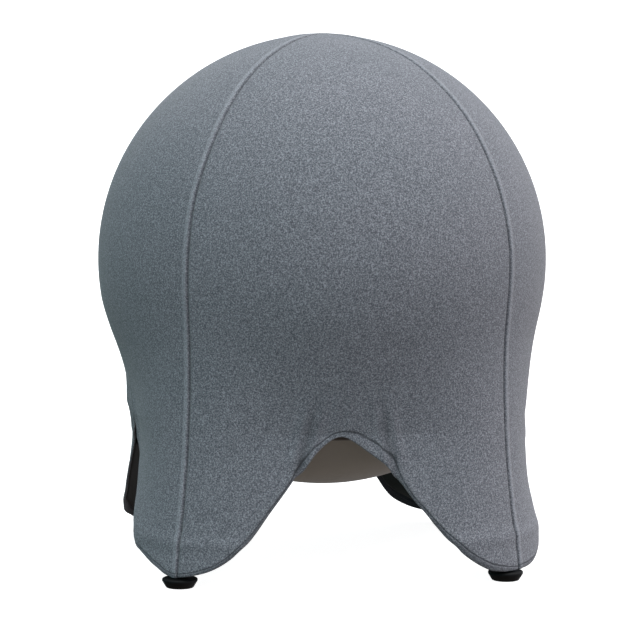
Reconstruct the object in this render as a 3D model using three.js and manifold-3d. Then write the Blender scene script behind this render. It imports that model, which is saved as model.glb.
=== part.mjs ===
// Ball stool: an inflated ball held on a ring with four bolted legs, under a stretched knitted cover.
// Millimetres, +Z up, origin on the floor under the centre of the ball. The front arch faces -Y.
import * as THREE from 'three';
import { mergeVertices } from 'three/addons/utils/BufferGeometryUtils.js';
import Module from 'manifold-3d';

const wasm = await Module();
wasm.setup();

const quarterTurn = Math.PI / 2;
const eighthTurn = Math.PI / 4;

// Driving dimensions of the covered ball
const coverRadius = 250;
const fabricThickness = 1.5;
const liningThickness = 1.2;
const ballWall = 1.5;

// Clearances
const seatGap = 0.3;
const sheetGap = 0.8;
const cutOverrun = 2;
const mergeTolerance = 0.001;
const slopeStep = 0.001;

// Ring and legs
const ringHeight = 170;
const ringRadius = 200;
const ringTubeRadius = 12;
const ringWall = 1.8;
const legTubeRadius = 7.5;
const legWall = 1.5;
const legBendRadius = 22;
const prongHalfSpacing = 31;
const legSplay = 52;
const socketLength = 60;
const socketWall = 2;
const legTopClearance = 1;
const boltBelowRing = 38;
const drainHoleRadius = 3;

// Foot, from the floor up
const padHeight = 13.5;
const padFootRadius = 14.5;
const padFlangeRadius = 19;
const padFlangeHeight = 8.5;
const padChamfer = 1.5;
const padCrown = 1;
const padFloorThickness = 3.5;
const padHubWidth = 2;
const studRadius = 3;
const studHeadRadius = 7;
const studHeadThickness = 3;
const studHexRadius = 5.8;
const studHexHeight = 4;
const studTopClearance = 2;
const threadClearance = 0.25;
const eyeletFlange = 0.6;
const eyeletBarrelWall = 0.8;
const eyeletFlangeWidth = 3;
const eyeletBoreClearance = 0.6;
const tabThickness = 1.4;
const tabHalfWidth = 14;
const tabInnerReach = 10;
const tabEndInset = 3;
const insertFlange = 1;
const insertFlangeRadius = 6;
const insertSideRoom = 1;
const insertPastTubeCentre = 3;

// Leg bolts and nuts
const boltRadius = 2.5;
const boltHeadRadius = 4.6;
const boltHeadHeight = 2.8;
const boltHeadRoundShare = 0.6;
const boltPastNut = 1.5;
const nutRadius = 4.6;
const nutHeight = 4;

// Air valve
const valveHoleRadius = 5;
const plugHeadRadius = 9;
const plugHeadThickness = 1.6;
const plugStemLength = 14;
const plugStemTaper = 0.8;

// Cover
const legCornerStand = 1.5;
const seamWaist = 13;
const webFlare = 22;
const hemAbovePad = 2.5;
const hemBelowRing = 6.5;
const liningInset = 6;
const liningTopStand = 14;
const legRounding = 1.2;
const liningTopShare = 0.345;
const liningBottomShare = 0.731;
const equatorRowShare = 0.5;

// Waist of the leg seam: share of the way down from the ball's centre to the hem, share of the waist's depth
const waistShares = [
  [0, 0], [0.067, 0.12], [0.134, 0.36], [0.251, 0.76], [0.392, 0.98], [0.511, 1],
  [0.627, 0.94], [0.778, 0.62], [0.878, 0.33], [0.94, 0.12], [1, 0],
];
// Hem: share of the way round from the arch's centre to the leg seam, share of the arch's height
const hemShares = [
  [0, 1], [0.107, 0.946], [0.3, 0.732], [0.345, 0.597], [0.418, 0.497], [0.464, 0.416],
  [0.541, 0.282], [0.637, 0.134], [0.731, 0.05], [0.845, 0.007], [1, 0],
];
const halfColumnShares = [0, 0.17, 0.3, 0.42, 0.57, 0.73, 0.87, 1];
const panelRows = 22;
const liningColumns = 8;
const liningRows = 6;

// Facets round each turned piece
const roundSides = 32;
const padSides = 16;
const smallSides = 10;
const tubeSides = 8;
const ballUpperRings = 11;
const ballLowerRings = 5;
const bendSteps = 5;

// Sizes that follow
const columnShares = [...halfColumnShares.slice(1).map((share) => -share).reverse(), ...halfColumnShares];
const rowShares = Array.from({ length: panelRows + 1 }, (_, row) => row / panelRows);
const widestColumn = Math.max(...halfColumnShares.slice(1).map((share, i) => share - halfColumnShares[i]));
const facetAngle = Math.hypot(widestColumn * eighthTurn, quarterTurn / (panelRows * equatorRowShare));
const ballRadius = coverRadius * Math.cos(facetAngle / 2) - fabricThickness - seatGap;
const seatDistance = ballRadius + ringTubeRadius + seatGap;
const ballCentreHeight = ringHeight + Math.sqrt(seatDistance ** 2 - ringRadius ** 2);
const wrapRadius = ringTubeRadius + sheetGap + fabricThickness;
const hemTipHeight = padHeight + hemAbovePad;
const hemApexHeight = ringHeight - hemBelowRing;

const hexBottom = padHeight + seatGap;
const eyeletBottom = hexBottom + studHexHeight + seatGap;
const tabBottom = eyeletBottom + eyeletFlange + seatGap;
const eyeletTop = tabBottom + tabThickness + seatGap + eyeletFlange;
const insertBottom = eyeletTop + seatGap;
const legBottomHeight = insertBottom + insertFlange + seatGap + legTubeRadius;
const eyeletBore = studRadius + eyeletBoreClearance;
const eyeletBarrelRadius = eyeletBore + eyeletBarrelWall;

const footCircleRadius = Math.sqrt(ringRadius ** 2 - prongHalfSpacing ** 2) + legSplay;
const legTilt = Math.atan2(legSplay, ringHeight - legBottomHeight);
const prongLength = (ringHeight - legBottomHeight) / Math.cos(legTilt);
const socketRadius = (legTubeRadius + seatGap) / Math.cos(Math.PI / tubeSides) + socketWall;
const socketBoreTop = prongLength - ringTubeRadius - socketWall;
const insertBodyRadius = (legTubeRadius - legWall) * Math.cos(Math.PI / tubeSides) - insertSideRoom;
const hairpinSteps = 2 * bendSteps + 3;

// Colours and finishes
const finishes = {
  heather: new THREE.MeshStandardMaterial({ color: 0x6c6d75, roughness: 0.95, metalness: 0 }),
  lining: new THREE.MeshStandardMaterial({ color: 0x26282b, roughness: 0.95, metalness: 0 }),
  vinyl: new THREE.MeshStandardMaterial({ color: 0x8a8883, roughness: 0.45, metalness: 0 }),
  paint: new THREE.MeshStandardMaterial({ color: 0x17181a, roughness: 0.5, metalness: 0.3 }),
  zinc: new THREE.MeshStandardMaterial({ color: 0xb4b6b4, roughness: 0.35, metalness: 1 }),
  nylon: new THREE.MeshStandardMaterial({ color: 0x101112, roughness: 0.55, metalness: 0 }),
};

// Smooth curve through a table of [place, value] rows, as cubic pieces that keep the rows' own slopes
function smoothTable(table, place) {
  const last = table.length - 2;
  const found = table.findIndex((row) => row[0] > place) - 1;
  const i = place >= table[last + 1][0] ? last : Math.max(0, found);
  const slopeAt = (k) => {
    const before = table[Math.max(0, k - 1)];
    const after = table[Math.min(last + 1, k + 1)];
    return (after[1] - before[1]) / (after[0] - before[0]);
  };
  const span = table[i + 1][0] - table[i][0];
  const s = THREE.MathUtils.clamp((place - table[i][0]) / span, 0, 1);
  const rise = table[i + 1][1] - table[i][1];
  const start = slopeAt(i) * span;
  const end = slopeAt(i + 1) * span;
  return table[i][1] + s * (start + s * (3 * rise - 2 * start - end + s * (start + end - 2 * rise)));
}

function shareBelowBall(height) {
  return (ballCentreHeight - height) / (ballCentreHeight - hemTipHeight);
}

// Share of the way out from the arch's radius to the seam's at an angle from the arch's centre
function seamShare(angle) {
  return ((1 - Math.cos(4 * angle)) / 2) ** legRounding;
}

// Radius over an arch's centre: the ball, then the straight line that touches the ball and the ring
function archRadius(height) {
  const below = ballCentreHeight - height;
  const seatAngle = Math.acos(ringRadius / seatDistance);
  const touchAngle = seatAngle - Math.acos((coverRadius - wrapRadius) / seatDistance);
  if (below < coverRadius * Math.sin(touchAngle)) {
    return Math.sqrt(Math.max(0, coverRadius ** 2 - below ** 2));
  }
  const wrapHeight = ringHeight - wrapRadius * Math.sin(touchAngle);
  const straight = (coverRadius - Math.max(below, 0) * Math.sin(touchAngle)) / Math.cos(touchAngle);
  if (height > wrapHeight) {
    return straight;
  }
  const wrapped = ringRadius + wrapRadius * Math.cos(touchAngle);
  return wrapped + (webFlare * (wrapHeight - height)) / (wrapHeight - hemTipHeight);
}

// Radius of the leg seam where the cover just clears a tube that passes this far out and sideways of its leg
function seamOverTube(tubeRadius, out, sideways, height) {
  const needed = Math.hypot(out, sideways) + tubeRadius + legCornerStand + fabricThickness;
  const arch = archRadius(height);
  return arch + (needed - arch) / seamShare(eighthTurn - Math.atan2(sideways, out));
}

// Radius of the leg seam at its tip, far enough out for the cover to clear the middle of a leg's bend
function findSeamTipRadius() {
  const sideways = prongHalfSpacing - legBendRadius * (1 - Math.SQRT1_2);
  const up = legBendRadius * (1 - Math.SQRT1_2);
  const out = footCircleRadius - up * Math.sin(legTilt);
  const height = legBottomHeight + up * Math.cos(legTilt);
  const seam = seamOverTube(legTubeRadius, out, sideways, height);
  const down = shareBelowBall(height);
  return (seam + seamWaist * smoothTable(waistShares, down) - coverRadius * (1 - down)) / down;
}
const seamTipRadius = findSeamTipRadius();

// Radius of the leg seam at a height: a straight flare from the ball to the leg tip, drawn in at the waist,
// but no further in than the ball and the leg's straight prongs let the stretched cloth go
function seamRadius(height) {
  const down = shareBelowBall(height);
  const waist = seamWaist * smoothTable(waistShares, down);
  const drawn = Math.max(THREE.MathUtils.lerp(coverRadius, seamTipRadius, down) - waist, archRadius(height));
  if (height > ringHeight || height < legBottomHeight + legBendRadius) {
    return drawn;
  }
  const out = footCircleRadius - (height - legBottomHeight) * Math.tan(legTilt);
  return Math.max(drawn, seamOverTube(socketRadius, out, prongHalfSpacing, height));
}

// Radius of the cover's outer face at an angle from the arch's centre
function coverRadiusAt(angle, height) {
  const arch = archRadius(height);
  if (height >= ballCentreHeight) {
    return arch;
  }
  return arch + (seamRadius(height) - arch) * seamShare(angle);
}

function hemHeight(angle) {
  const share = Math.abs(angle) / eighthTurn;
  const mirrored = share > 1 ? 2 - share : share;
  return THREE.MathUtils.lerp(hemTipHeight, hemApexHeight, smoothTable(hemShares, mirrored));
}

// Point of a cover panel: across runs from seam to seam, down runs from the crown over the ball to the hem
function panelPoint(across, down) {
  const angle = across * eighthTurn;
  if (down < equatorRowShare) {
    const polar = (quarterTurn * down) / equatorRowShare;
    const level = coverRadius * Math.sin(polar);
    const height = ballCentreHeight + coverRadius * Math.cos(polar);
    return new THREE.Vector3(level * Math.cos(angle), level * Math.sin(angle), height);
  }
  const below = (down - equatorRowShare) / (1 - equatorRowShare);
  const height = THREE.MathUtils.lerp(ballCentreHeight, hemHeight(angle), below);
  const radius = coverRadiusAt(angle, height);
  return new THREE.Vector3(radius * Math.cos(angle), radius * Math.sin(angle), height);
}

// Point of a pocket lining in its leg's frame: its sides follow the hem, and its middle runs behind the leg
function liningPoint(across, down) {
  const share = THREE.MathUtils.lerp(liningTopShare, liningBottomShare, down);
  const fromArch = share * eighthTurn;
  const sideHeight = hemHeight(fromArch) + liningInset;
  const sideRadius = coverRadiusAt(fromArch, sideHeight) - fabricThickness - liningThickness;
  const fromLeg = eighthTurn - fromArch;
  const topHeight = hemHeight(liningTopShare * eighthTurn) + liningInset;
  const middleHeight = THREE.MathUtils.lerp(topHeight, tabBottom + tabThickness / 2, down);
  const behindLeg = (height) => (
    footCircleRadius - (height - legBottomHeight) * Math.tan(legTilt) - legTubeRadius / Math.cos(legTilt)
  );
  const bottomStand = behindLeg(tabBottom) - (footCircleRadius - tabInnerReach);
  const middle = behindLeg(middleHeight) - THREE.MathUtils.lerp(liningTopStand, bottomStand, down);
  const bow = across * across;
  return new THREE.Vector3(
    THREE.MathUtils.lerp(middle, sideRadius * Math.cos(fromLeg), bow),
    sideRadius * Math.sin(fromLeg) * across,
    THREE.MathUtils.lerp(middleHeight, sideHeight, bow),
  );
}

// Unit normal of a surface that is given as a function of two shares
function surfaceNormal(pointAt, across, down) {
  const acrossStep = pointAt(across + slopeStep, down).sub(pointAt(across - slopeStep, down));
  const downStep = pointAt(across, down + slopeStep).sub(pointAt(across, down - slopeStep));
  const normal = downStep.cross(acrossStep);
  return down === 0 && acrossStep.lengthSq() < mergeTolerance ** 2
    ? new THREE.Vector3(0, 0, 1)
    : normal.normalize();
}

// Merges shared corners, drops collapsed triangles and turns the faces outwards
function closed(geometry) {
  const bare = geometry.clone();
  bare.deleteAttribute('normal');
  bare.deleteAttribute('uv');
  const merged = mergeVertices(bare, mergeTolerance);
  const place = merged.getAttribute('position');
  const order = merged.getIndex().array;
  const kept = [];
  const corners = [new THREE.Vector3(), new THREE.Vector3(), new THREE.Vector3()];
  let volume = 0;
  for (let i = 0; i < order.length; i += 3) {
    const [a, b, c] = order.slice(i, i + 3);
    if (a !== b && b !== c && c !== a) {
      kept.push(a, b, c);
      [a, b, c].forEach((at, k) => corners[k].fromBufferAttribute(place, at));
      volume += corners[0].dot(corners[1].cross(corners[2]));
    }
  }
  if (volume < 0) {
    kept.reverse();
  }
  merged.setIndex(kept);
  merged.computeVertexNormals();
  return merged;
}

// Thin closed sheet over a surface, its second face one thickness behind the first
function sheet(pointAt, acrossShares, downShares, thickness) {
  const faces = [0, thickness].map((depth) => downShares.map((down) => acrossShares.map((across) => (
    pointAt(across, down).addScaledVector(surfaceNormal(pointAt, across, down), -depth)
  ))));
  const [outer, inner] = faces;
  const lastRow = downShares.length - 1;
  const lastColumn = acrossShares.length - 1;
  const corners = [];
  const quad = (a, b, c, d) => corners.push(a, b, c, a, c, d);
  for (let row = 0; row < lastRow; row += 1) {
    for (let column = 0; column < lastColumn; column += 1) {
      const next = column + 1;
      quad(outer[row][column], outer[row + 1][column], outer[row + 1][next], outer[row][next]);
      quad(inner[row][next], inner[row + 1][next], inner[row + 1][column], inner[row][column]);
    }
    quad(inner[row][0], inner[row + 1][0], outer[row + 1][0], outer[row][0]);
    const rim = [outer[row][lastColumn], outer[row + 1][lastColumn]];
    quad(...rim, inner[row + 1][lastColumn], inner[row][lastColumn]);
  }
  for (let column = 0; column < lastColumn; column += 1) {
    const next = column + 1;
    quad(outer[0][next], inner[0][next], inner[0][column], outer[0][column]);
    quad(outer[lastRow][column], inner[lastRow][column], inner[lastRow][next], outer[lastRow][next]);
  }
  return closed(new THREE.BufferGeometry().setFromPoints(corners));
}

// Turned piece about +Z from [radius, height] corners
function turned(corners, sides) {
  const profile = corners.map(([radius, height]) => new THREE.Vector2(radius, height));
  return closed(new THREE.LatheGeometry(profile, sides).rotateX(quarterTurn));
}

// Round bar along +Z between two heights
function bar(radius, bottom, top, sides) {
  return turned([[0, bottom], [radius, bottom], [radius, top], [0, top]], sides);
}

// Cutter along +Z whose flats, not its corners, lie at the radius
function drill(radius, bottom, top, sides) {
  return bar(radius / Math.cos(Math.PI / sides), bottom, top, sides);
}

function circlePoints(radius, sides) {
  return Array.from({ length: sides }, (_, i) => {
    const angle = (2 * Math.PI * (i + 1 / 2)) / sides;
    return new THREE.Vector2(radius * Math.cos(angle), radius * Math.sin(angle));
  });
}

// Ring about +Z of round section
function torus(ring, section, height, sides) {
  const corners = circlePoints(section, sides).map((point) => [ring + point.x, height + point.y]);
  return turned([...corners, corners[0]], roundSides);
}

function toManifold(geometry) {
  return new wasm.Manifold(new wasm.Mesh({
    numProp: 3,
    vertProperties: new Float32Array(geometry.getAttribute('position').array),
    triVerts: new Uint32Array(geometry.getIndex().array),
  }));
}

function fromManifold(manifold) {
  const mesh = manifold.getMesh();
  const geometry = new THREE.BufferGeometry();
  geometry.setAttribute('position', new THREE.BufferAttribute(new Float32Array(mesh.vertProperties), 3));
  geometry.setIndex(new THREE.BufferAttribute(new Uint32Array(mesh.triVerts), 1));
  return closed(geometry);
}

function cutFrom(base, cutters) {
  return fromManifold(cutters.reduce((left, cutter) => left.subtract(toManifold(cutter)), toManifold(base)));
}

function joined(pieces) {
  return fromManifold(pieces.map(toManifold).reduce((sum, piece) => sum.add(piece)));
}

// Matrix from a leg's slanted plane, where +Z runs up the prongs from the middle of the foot bend
function legPlane() {
  const slant = new THREE.Matrix4().makeRotationY(-legTilt);
  return slant.setPosition(footCircleRadius, 0, legBottomHeight);
}

// Cutter along +Y through a leg's slanted plane, at a height up its prongs
function crossDrill(radius, up, from, to) {
  const along = drill(radius, from, to, tubeSides).rotateX(-quarterTurn);
  return along.applyMatrix4(new THREE.Matrix4().makeTranslation(0, 0, up)).applyMatrix4(legPlane());
}

// Centre line of a hairpin leg: down one prong, round two bends and up the other, with steps where it bends
class HairpinPath extends THREE.Curve {
  getPoint(along) {
    const top = socketBoreTop - legTopClearance;
    const middle = prongHalfSpacing - legBendRadius;
    const station = Math.abs(along * hairpinSteps - hairpinSteps / 2);
    const side = along < 1 / 2 ? -1 : 1;
    if (station <= 1 / 2) {
      return new THREE.Vector3(0, side * middle * station * 2, 0);
    }
    const bend = Math.min(station - 1 / 2, bendSteps) / bendSteps;
    const turn = bend * quarterTurn;
    const past = Math.max(0, station - 1 / 2 - bendSteps);
    return new THREE.Vector3(
      0,
      side * (middle + legBendRadius * Math.sin(turn)),
      legBendRadius * (1 - Math.cos(turn)) + past * (top - legBendRadius),
    );
  }

  getTangent(along) {
    const station = Math.abs(along * hairpinSteps - hairpinSteps / 2);
    const side = along < 1 / 2 ? -1 : 1;
    const turn = THREE.MathUtils.clamp((station - 1 / 2) / bendSteps, 0, 1) * quarterTurn;
    return new THREE.Vector3(0, Math.cos(turn), side * Math.sin(turn));
  }

  getUtoTmapping(share) {
    return share;
  }
}

function legGeometry() {
  const section = new THREE.Shape(circlePoints(legTubeRadius, tubeSides));
  section.holes.push(new THREE.Path(circlePoints(legTubeRadius - legWall, tubeSides)));
  const tube = closed(new THREE.ExtrudeGeometry(section, {
    steps: hairpinSteps,
    extrudePath: new HairpinPath(),
    bevelEnabled: false,
  }).applyMatrix4(legPlane()));
  const insertHole = drill(
    insertBodyRadius + seatGap,
    legBottomHeight - legTubeRadius - cutOverrun,
    legBottomHeight,
    tubeSides,
  ).translate(footCircleRadius, 0, 0);
  const reach = prongHalfSpacing + legTubeRadius + cutOverrun;
  const boltHole = crossDrill(boltRadius + seatGap, prongLength - boltBelowRing, -reach, reach);
  return cutFrom(tube, [insertHole, boltHole]);
}

// Ring with its eight welded sockets
function frameGeometry() {
  const sockets = [];
  const cuts = [torus(ringRadius, ringTubeRadius - ringWall, ringHeight, tubeSides)];
  const reach = prongHalfSpacing + socketRadius + cutOverrun;
  for (let corner = 0; corner < 4; corner += 1) {
    const turn = new THREE.Matrix4().makeRotationZ(eighthTurn + corner * quarterTurn);
    for (const side of [-1, 1]) {
      const place = turn.clone().multiply(legPlane());
      place.multiply(new THREE.Matrix4().makeTranslation(0, side * prongHalfSpacing, 0));
      const bottom = prongLength - socketLength;
      sockets.push(bar(socketRadius, bottom, prongLength - ringWall, tubeSides).applyMatrix4(place));
      const bore = drill(legTubeRadius + seatGap, bottom - cutOverrun, socketBoreTop, tubeSides);
      cuts.push(bore.applyMatrix4(place));
    }
    const boltHole = crossDrill(boltRadius + seatGap, prongLength - boltBelowRing, -reach, reach);
    cuts.push(boltHole.applyMatrix4(turn));
  }
  const drainBottom = ringHeight - ringTubeRadius - cutOverrun;
  cuts.push(bar(drainHoleRadius, drainBottom, ringHeight, tubeSides).translate(0, ringRadius, 0));
  const ring = torus(ringRadius, ringTubeRadius, ringHeight, tubeSides);
  return cutFrom(joined([ring, ...sockets]), cuts);
}

function ballGeometry() {
  const seatPolar = Math.PI - Math.asin(ringRadius / seatDistance);
  const holePolar = Math.PI - Math.asin(valveHoleRadius / ballRadius);
  const polars = [];
  for (let i = 0; i < ballUpperRings; i += 1) {
    polars.push((seatPolar * i) / ballUpperRings);
  }
  for (let i = 0; i <= ballLowerRings; i += 1) {
    polars.push(THREE.MathUtils.lerp(seatPolar, holePolar, i / ballLowerRings));
  }
  const meridian = (radius) => polars.map((polar) => [radius * Math.sin(polar), radius * Math.cos(polar)]);
  const inside = meridian(ballRadius - ballWall).reverse();
  return turned([...meridian(ballRadius), ...inside], roundSides).translate(0, 0, ballCentreHeight);
}

function plugGeometry() {
  const stem = valveHoleRadius - seatGap;
  const seat = -seatGap;
  return turned([
    [0, seat - plugHeadThickness],
    [plugHeadRadius - plugHeadThickness / 2, seat - plugHeadThickness],
    [plugHeadRadius, seat - plugHeadThickness / 2],
    [plugHeadRadius, seat],
    [stem, seat],
    [stem, plugStemLength - plugStemTaper],
    [stem - plugStemTaper, plugStemLength],
    [0, plugStemLength],
  ], padSides).translate(0, 0, ballCentreHeight - ballRadius);
}

// Swivel pad: a flared shoe with an undercut that holds the stud's head
function padGeometry() {
  const mouth = studRadius + seatGap;
  const recess = studHeadRadius + seatGap;
  const recessTop = padFloorThickness + studHeadThickness + 2 * seatGap;
  const shoulder = padHeight - padCrown - padChamfer;
  return turned([
    [0, 0],
    [padFootRadius, 0],
    [padFlangeRadius, padFlangeHeight],
    [padFlangeRadius, shoulder],
    [padFlangeRadius - padChamfer, shoulder + padChamfer],
    [recess + padHubWidth, padHeight],
    [mouth, padHeight],
    [mouth, recessTop],
    [recess, recessTop],
    [recess, padFloorThickness],
    [0, padFloorThickness],
  ], padSides);
}

function studGeometry() {
  const headBottom = padFloorThickness + seatGap;
  const headTop = headBottom + studHeadThickness;
  const studTop = legBottomHeight + legTubeRadius - legWall - studTopClearance;
  const rod = turned([
    [0, headBottom],
    [studHeadRadius, headBottom],
    [studHeadRadius, headTop],
    [studRadius, headTop],
    [studRadius, studTop],
    [0, studTop],
  ], smallSides);
  const hex = bar(studHexRadius, hexBottom, hexBottom + studHexHeight, 6);
  return joined([rod, hex]);
}

// Two-flanged eyelet through a pocket tab
function eyeletGeometry() {
  const flange = eyeletBarrelRadius + eyeletFlangeWidth;
  const lower = eyeletBottom + eyeletFlange;
  const upper = eyeletTop - eyeletFlange;
  return turned([
    [eyeletBore, eyeletBottom],
    [flange, eyeletBottom],
    [flange, lower],
    [eyeletBarrelRadius, lower],
    [eyeletBarrelRadius, upper],
    [flange, upper],
    [flange, eyeletTop],
    [eyeletBore, eyeletTop],
    [eyeletBore, eyeletBottom],
  ], smallSides);
}

function insertGeometry() {
  const bore = studRadius + threadClearance;
  const top = legBottomHeight + insertPastTubeCentre;
  return turned([
    [bore, insertBottom],
    [insertFlangeRadius, insertBottom],
    [insertFlangeRadius, insertBottom + insertFlange],
    [insertBodyRadius, insertBottom + insertFlange],
    [insertBodyRadius, top],
    [bore, top],
    [bore, insertBottom],
  ], smallSides);
}

// Flat tab under the leg's foot bend, from the lining's lower edge out to the leg tip
function tabGeometry() {
  const liningAtCorner = liningPoint(tabHalfWidth / liningPoint(1, 1).y, 1);
  const inner = liningAtCorner.x + seatGap;
  const outer = seamTipRadius - fabricThickness - tabEndInset;
  const narrow = tabHalfWidth / 2;
  const outline = new THREE.Shape([
    new THREE.Vector2(inner, -tabHalfWidth),
    new THREE.Vector2(footCircleRadius, -tabHalfWidth),
    new THREE.Vector2(outer, -narrow),
    new THREE.Vector2(outer, narrow),
    new THREE.Vector2(footCircleRadius, tabHalfWidth),
    new THREE.Vector2(inner, tabHalfWidth),
  ]);
  const hole = circlePoints(eyeletBarrelRadius + seatGap, smallSides);
  outline.holes.push(new THREE.Path(hole.map((point) => point.add(new THREE.Vector2(footCircleRadius, 0)))));
  const plate = new THREE.ExtrudeGeometry(outline, { depth: tabThickness, bevelEnabled: false });
  return closed(plate.translate(0, 0, tabBottom));
}

// Button-head bolt along +Z, its seat at zero
function boltGeometry() {
  const shank = 2 * socketRadius + 2 * seatGap + nutHeight + boltPastNut;
  return turned([
    [0, -boltHeadHeight],
    [boltHeadRadius * boltHeadRoundShare, -boltHeadHeight],
    [boltHeadRadius, -seatGap],
    [boltRadius, -seatGap],
    [boltRadius, shank],
    [0, shank],
  ], tubeSides);
}

function nutGeometry() {
  const outline = new THREE.Shape(circlePoints(nutRadius, 6));
  outline.holes.push(new THREE.Path(circlePoints(boltRadius + threadClearance, tubeSides)));
  return closed(new THREE.ExtrudeGeometry(outline, { depth: nutHeight, bevelEnabled: false }));
}

function named(name, geometry, finish) {
  const mesh = new THREE.Mesh(geometry, finishes[finish].clone());
  mesh.name = name;
  return mesh;
}

const stool = new THREE.Group();
stool.add(named('ball', ballGeometry(), 'vinyl'));
stool.add(named('valve_plug', plugGeometry(), 'vinyl'));
stool.add(named('ring_frame', frameGeometry(), 'paint'));

// Four cover panels, each moved out by its share of the seam's gap
const panel = sheet(panelPoint, columnShares, rowShares, fabricThickness);
['front', 'right', 'back', 'left'].forEach((side, i) => {
  const place = new THREE.Group();
  place.rotation.z = (i - 1) * quarterTurn;
  const mesh = named(`cover_${side}`, panel, 'heather');
  mesh.position.x = seatGap / Math.SQRT2;
  place.add(mesh);
  stool.add(place);
});

// Four legs, each with its pocket lining, foot and fasteners, in a frame whose +X points out along the leg
const liningAcross = Array.from({ length: liningColumns + 1 }, (_, i) => (2 * i) / liningColumns - 1);
const liningDown = Array.from({ length: liningRows + 1 }, (_, i) => i / liningRows);
const legPieces = [
  ['leg', legGeometry(), 'paint'],
  ['pocket_lining', sheet(liningPoint, liningAcross, liningDown, liningThickness), 'lining'],
  ['pocket_tab', tabGeometry(), 'lining'],
  ['pocket_eyelet', eyeletGeometry(), 'zinc', true],
  ['foot_insert', insertGeometry(), 'zinc', true],
  ['foot_stud', studGeometry(), 'zinc', true],
  ['foot_pad', padGeometry(), 'nylon', true],
];
const boltSeat = new THREE.Vector3(0, 0, prongLength - boltBelowRing).applyMatrix4(legPlane());
const boltShape = boltGeometry();
const nutShape = nutGeometry();
['front_right', 'back_right', 'back_left', 'front_left'].forEach((corner, i) => {
  const place = new THREE.Group();
  place.rotation.z = i * quarterTurn - eighthTurn;
  legPieces.forEach(([piece, geometry, finish, onFootAxis]) => {
    const mesh = named(`${piece}_${corner}`, geometry, finish);
    mesh.position.x = onFootAxis ? footCircleRadius : 0;
    place.add(mesh);
  });
  [['a', -1], ['b', 1]].forEach(([letter, side]) => {
    const bolt = named(`leg_bolt_${corner}_${letter}`, boltShape, 'zinc');
    bolt.position.set(boltSeat.x, side * (prongHalfSpacing + socketRadius), boltSeat.z);
    bolt.rotation.x = side * quarterTurn;
    const nut = named(`leg_nut_${corner}_${letter}`, nutShape, 'zinc');
    nut.position.set(boltSeat.x, side * (prongHalfSpacing - socketRadius - seatGap), boltSeat.z);
    nut.rotation.x = side * quarterTurn;
    place.add(bolt, nut);
  });
  stool.add(place);
});

export default stool;
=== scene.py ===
import math

import bpy
import numpy as np
from mathutils import Matrix, Vector


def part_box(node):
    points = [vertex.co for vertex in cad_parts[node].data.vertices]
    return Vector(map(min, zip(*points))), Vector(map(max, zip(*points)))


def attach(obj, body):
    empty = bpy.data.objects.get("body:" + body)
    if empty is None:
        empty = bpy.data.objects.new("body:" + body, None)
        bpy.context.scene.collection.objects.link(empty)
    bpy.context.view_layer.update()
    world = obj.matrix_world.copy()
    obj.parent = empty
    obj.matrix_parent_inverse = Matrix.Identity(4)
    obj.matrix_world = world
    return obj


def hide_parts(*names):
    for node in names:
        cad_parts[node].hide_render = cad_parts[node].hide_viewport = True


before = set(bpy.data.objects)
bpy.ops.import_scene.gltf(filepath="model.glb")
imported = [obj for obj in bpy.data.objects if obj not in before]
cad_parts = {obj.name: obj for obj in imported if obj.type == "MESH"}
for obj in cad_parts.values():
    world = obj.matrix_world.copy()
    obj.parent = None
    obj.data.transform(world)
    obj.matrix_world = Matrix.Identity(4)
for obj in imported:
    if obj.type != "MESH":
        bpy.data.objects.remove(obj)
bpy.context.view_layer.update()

quarter, eighth = math.pi / 2, math.pi / 4
corners = ["front_right", "back_right", "back_left", "front_left"]
sides = ["front", "right", "back", "left"]


# Dictionary whose values can also be read as attributes
class Values(dict):
    __getattr__ = dict.__getitem__


# Sizes that several pieces share, in metres, as the frame has them
stool = Values(
    ballHeight=.335045, ballRadius=.2469, coverRadius=.25, ringHeight=.17, ringRadius=.2, ringTube=.012,
    legTube=.0075, legWall=.0015, legBend=.022, prongHalf=.031, footCircle=.249583, legBottom=.0304,
    legSplay=.052, socketRadius=.01044, socketLength=.06, boltBelowRing=.038)
legTilt = math.atan2(stool.legSplay, stool.ringHeight - stool.legBottom)
prongLength = (stool.ringHeight - stool.legBottom) / math.cos(legTilt)
ballCentre = np.array([0, 0, stool.ballHeight])

# Camera's angles in degrees and distance in metres; where the ball's centre stands from the frame's middle, in pixels
photo = Values(
    azimuth=-8.17, elevation=4.7, roll=.26, distance=3.3, focalPixels=2947, frameWidth=640, ballRight=2.05, ballUp=61.7)


# Object around some data, put into the scene
def addObject(name, data):
    item = bpy.data.objects.new(name, data)
    bpy.context.collection.objects.link(item)
    return item


# Camera on a circle round the ball's centre, aimed so that the centre falls on its own pixel, then rolled
def makeCamera():
    turn, rise, roll = (math.radians(photo[key]) for key in ("azimuth", "elevation", "roll"))
    back = Vector((math.sin(turn) * math.cos(rise), -math.cos(turn) * math.cos(rise), math.sin(rise)))
    data = bpy.data.cameras.new("camera")
    data.sensor_width, data.clip_end = 36, 500
    data.lens = photo.focalPixels / photo.frameWidth * data.sensor_width
    right = photo.ballRight * math.cos(roll) - photo.ballUp * math.sin(roll)
    up = photo.ballUp * math.cos(roll) + photo.ballRight * math.sin(roll)
    aimDown, aimLeft = rise + math.atan(up / photo.focalPixels), math.atan(right / photo.focalPixels)
    heading = Matrix.Rotation(turn + aimLeft, 3, "Z") @ Matrix.Rotation(quarter - aimDown, 3, "X")
    camera = addObject("camera", data)
    camera.location = Vector((0, 0, stool.ballHeight)) + back * photo.distance
    camera.rotation_euler = (heading @ Matrix.Rotation(roll, 3, "Z")).to_euler()
    bpy.context.scene.camera = camera


makeCamera()
print("camera placed")


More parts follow.
